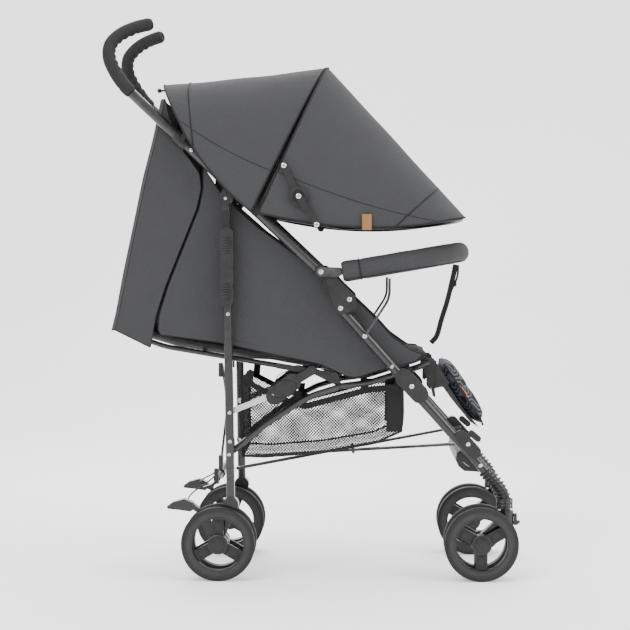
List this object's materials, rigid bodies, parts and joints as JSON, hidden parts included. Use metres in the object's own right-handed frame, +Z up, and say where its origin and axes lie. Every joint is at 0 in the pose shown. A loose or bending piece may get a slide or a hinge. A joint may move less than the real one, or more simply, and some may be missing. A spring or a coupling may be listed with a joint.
{
  "type": "stroller",
  "caption": "Lightweight umbrella-fold stroller with twin wheels, swivelling sprung front casters, folding canopy, reclining seat, padded bumper bar, footrest and mesh basket.",
  "frame": {"origin": "middle of the bounding box, on the floor", "axes": "+X forward, the way the stroller rolls; +Y to its left; +Z up"},
  "size_m": [0.7972, 0.482, 1.0775],
  "materials": {
    "black_plastic": "moulded, satin",
    "black_tube": "black powder coat, satin",
    "tyre_rubber": "matt moulded foam",
    "foam_grip": "soft foam",
    "bright_steel": "zinc plated",
    "grey_fabric": "woven polyester",
    "patterned_fabric": "woven chevron polyester",
    "black_webbing": "woven webbing",
    "black_mesh": "open knitted mesh"
  },
  "bodies": {
    "frame": {"handle_tube_r": "black_tube", "handle_tube_l": "black_tube", "grips": "foam_grip", "front_leg_r": "black_tube", "front_leg_l": "black_tube", "mid_brackets": "black_plastic", "tube_fittings": "black_plastic", "leg_brackets": "black_plastic", "foot_step": "black_plastic", "frame_rivets": "bright_steel", "rear_bow": "black_plastic", "canopy_rear": "grey_fabric", "rear_curtain": "grey_fabric", "side_panels": "grey_fabric", "bumper_bar": "bright_steel", "bumper_pad": "grey_fabric", "crotch_strap": "black_webbing"},
    "rear_frame": {"rear_leg_r": "black_tube", "rear_leg_l": "black_tube", "back_brace": "black_tube", "axle_housing_r": "black_plastic", "axle_housing_l": "black_plastic", "rear_axles": "bright_steel", "carry_grip": "black_plastic", "rear_rivets": "bright_steel"},
    "brake_r": {"brake_pedal_r": "black_plastic"},
    "brake_l": {"brake_pedal_l": "black_plastic"},
    "fold_lever": {"fold_pedal": "black_plastic"},
    "rear_wheels_r": {"rear_rim_r": "black_plastic", "rear_tyre_r": "tyre_rubber"},
    "rear_wheels_l": {"rear_rim_l": "black_plastic", "rear_tyre_l": "tyre_rubber"},
    "suspension_r": {"spring_r": "bright_steel"},
    "suspension_l": {"spring_l": "bright_steel"},
    "caster_r": {"fork_r": "black_plastic"},
    "caster_l": {"fork_l": "black_plastic"},
    "front_wheels_r": {"front_rim_r": "black_plastic", "front_tyre_r": "tyre_rubber"},
    "front_wheels_l": {"front_rim_l": "black_plastic", "front_tyre_l": "tyre_rubber"},
    "lock_r": {"swivel_lock_r": "black_plastic"},
    "lock_l": {"swivel_lock_l": "black_plastic"},
    "seat": {"seat_rails": "black_tube", "seat_pad": "grey_fabric", "harness": "black_webbing", "basket": "black_mesh"},
    "rest_hinges": {"footrest_hinges": "black_plastic"},
    "footrest": {"footrest_board": "black_plastic", "footrest_pad": "patterned_fabric"},
    "backrest": {"backrest_frame": "black_tube", "backrest_pad": "grey_fabric"},
    "links": {"rear_links": "black_tube"},
    "lower_frame": {"lower_bars": "black_tube"},
    "levers": {"lock_levers": "black_plastic"},
    "strips": {"lock_strips": "bright_steel"},
    "mid_hoop": {"mid_bow": "black_plastic"},
    "front_hoop": {"front_bow": "black_plastic", "canopy_front": "grey_fabric"},
    "upper_struts": {"strut_uppers": "black_plastic"},
    "lower_struts": {"strut_lowers": "black_plastic"}
  },
  "joints": [
    {"name": "fold", "type": "hinge", "parent": "frame", "child": "rear_frame", "pos_m": [-0.161, 0, 0.724], "axis": [0, -1, 0], "range_deg": [0, 15], "deforming": ["rear_curtain", "side_panels", "basket", "canopy_rear", "crotch_strap"]},
    {"name": "seat_fold", "type": "hinge", "parent": "frame", "child": "seat", "pos_m": [0.191, 0, 0.374], "axis": [0, 1, 0], "range_deg": [0, 15], "deforming": ["rear_curtain", "side_panels", "basket", "crotch_strap"]},
    {"name": "lower_frame_fold", "type": "hinge", "parent": "frame", "child": "lower_frame", "pos_m": [0.297, 0, 0.26], "axis": [0, 1, 0], "range_deg": [0, 1.5], "deforming": ["basket"]},
    {"name": "link_fold", "type": "hinge", "parent": "rear_frame", "child": "links", "pos_m": [-0.155, 0, 0.237], "axis": [0, -1, 0], "range_deg": [0, 19.29], "deforming": ["basket"]},
    {"name": "strip_fold", "type": "hinge", "parent": "rear_frame", "child": "strips", "pos_m": [-0.154, 0, 0.317], "axis": [0, -1, 0], "range_deg": [0, 60], "deforming": ["basket", "side_panels"]},
    {"name": "lever_fold", "type": "hinge", "parent": "seat", "child": "levers", "pos_m": [0.002, 0, 0.396], "axis": [0, -1, 0], "range_deg": [0, 7.5], "deforming": ["basket", "side_panels"]},
    {"name": "rest_hinge_fold", "type": "hinge", "parent": "seat", "child": "rest_hinges", "pos_m": [0.228, 0, 0.411], "axis": [0, -1, 0], "range_deg": [0, 24], "deforming": ["crotch_strap"]},
    {"name": "footrest_angle", "type": "hinge", "parent": "rest_hinges", "child": "footrest", "pos_m": [0.228, 0, 0.411], "axis": [0, -1, 0], "range_deg": [-15, 45], "deforming": ["footrest_pad", "crotch_strap"]},
    {"name": "recline", "type": "hinge", "parent": "seat", "child": "backrest", "pos_m": [0.045, 0, 0.3855], "axis": [0, -1, 0], "range_deg": [-50, 0], "deforming": ["rear_curtain"]},
    {"name": "brake_pedal_r_press", "type": "hinge", "parent": "rear_frame", "child": "brake_r", "pos_m": [-0.211, -0.194, 0.128], "axis": [0, -1, 0], "range_deg": [0, 22]},
    {"name": "brake_pedal_l_press", "type": "hinge", "parent": "rear_frame", "child": "brake_l", "pos_m": [-0.211, 0.194, 0.128], "axis": [0, -1, 0], "range_deg": [0, 22]},
    {"name": "fold_pedal_press", "type": "hinge", "parent": "rear_frame", "child": "fold_lever", "pos_m": [-0.18, -0.057, 0.188], "axis": [0, -1, 0], "range_deg": [0, 25]},
    {"name": "rear_wheels_r_spin", "type": "hinge", "parent": "rear_frame", "child": "rear_wheels_r", "pos_m": [-0.1745, -0.194, 0.07], "axis": [0, 1, 0], "continuous": true},
    {"name": "rear_wheels_l_spin", "type": "hinge", "parent": "rear_frame", "child": "rear_wheels_l", "pos_m": [-0.1745, 0.194, 0.07], "axis": [0, 1, 0], "continuous": true},
    {"name": "suspension_r", "type": "slide", "parent": "frame", "child": "suspension_r", "axis": [0, 0, 1], "range_m": [0, 0.008], "stiffness_N_per_m": 6000, "springref_m": -0.004, "deforming": ["spring_r"]},
    {"name": "suspension_l", "type": "slide", "parent": "frame", "child": "suspension_l", "axis": [0, 0, 1], "range_m": [0, 0.008], "stiffness_N_per_m": 6000, "springref_m": -0.004, "deforming": ["spring_l"]},
    {"name": "caster_r_swivel", "type": "hinge", "parent": "suspension_r", "child": "caster_r", "pos_m": [0.371, -0.194, 0.12], "axis": [0, 0, 1], "continuous": true},
    {"name": "caster_l_swivel", "type": "hinge", "parent": "suspension_l", "child": "caster_l", "pos_m": [0.371, 0.194, 0.12], "axis": [0, 0, 1], "continuous": true},
    {"name": "front_wheels_r_spin", "type": "hinge", "parent": "caster_r", "child": "front_wheels_r", "pos_m": [0.324, -0.194, 0.07], "axis": [0, 1, 0], "continuous": true},
    {"name": "front_wheels_l_spin", "type": "hinge", "parent": "caster_l", "child": "front_wheels_l", "pos_m": [0.324, 0.194, 0.07], "axis": [0, 1, 0], "continuous": true},
    {"name": "swivel_lock_r_slide", "type": "slide", "parent": "caster_r", "child": "lock_r", "axis": [0, 0, 1], "range_m": [0, 0.006]},
    {"name": "swivel_lock_l_slide", "type": "slide", "parent": "caster_l", "child": "lock_l", "axis": [0, 0, 1], "range_m": [0, 0.006]},
    {"name": "canopy_fold", "type": "hinge", "parent": "frame", "child": "mid_hoop", "pos_m": [-0.104, 0, 0.7], "axis": [0, -1, 0], "range_deg": [0, 35], "deforming": ["canopy_rear", "canopy_front"]},
    {"name": "canopy_front_fold", "type": "hinge", "parent": "mid_hoop", "child": "front_hoop", "pos_m": [-0.104, 0, 0.7], "axis": [0, -1, 0], "range_deg": [0, 35], "deforming": ["canopy_front", "canopy_rear"]},
    {"name": "strut_upper_fold", "type": "hinge", "parent": "mid_hoop", "child": "upper_struts", "pos_m": [-0.05, 0, 0.786], "axis": [0, -1, 0], "range_deg": [-21, 0]},
    {"name": "strut_lower_fold", "type": "hinge", "parent": "front_hoop", "child": "lower_struts", "pos_m": [0.012, 0, 0.674], "axis": [0, -1, 0], "range_deg": [0, 42]}
  ],
  "couplings": [
    {"joint": "seat_fold", "follows": "fold", "ratio": 1},
    {"joint": "lower_frame_fold", "follows": "fold", "ratio": 0.1},
    {"joint": "link_fold", "follows": "fold", "ratio": 1.2857},
    {"joint": "strip_fold", "follows": "fold", "ratio": 4},
    {"joint": "lever_fold", "follows": "fold", "ratio": 0.5},
    {"joint": "rest_hinge_fold", "follows": "fold", "ratio": 1.6},
    {"joint": "canopy_front_fold", "follows": "canopy_fold", "ratio": 1},
    {"joint": "strut_upper_fold", "follows": "canopy_fold", "ratio": -0.6},
    {"joint": "strut_lower_fold", "follows": "canopy_fold", "ratio": 1.2}
  ]
}
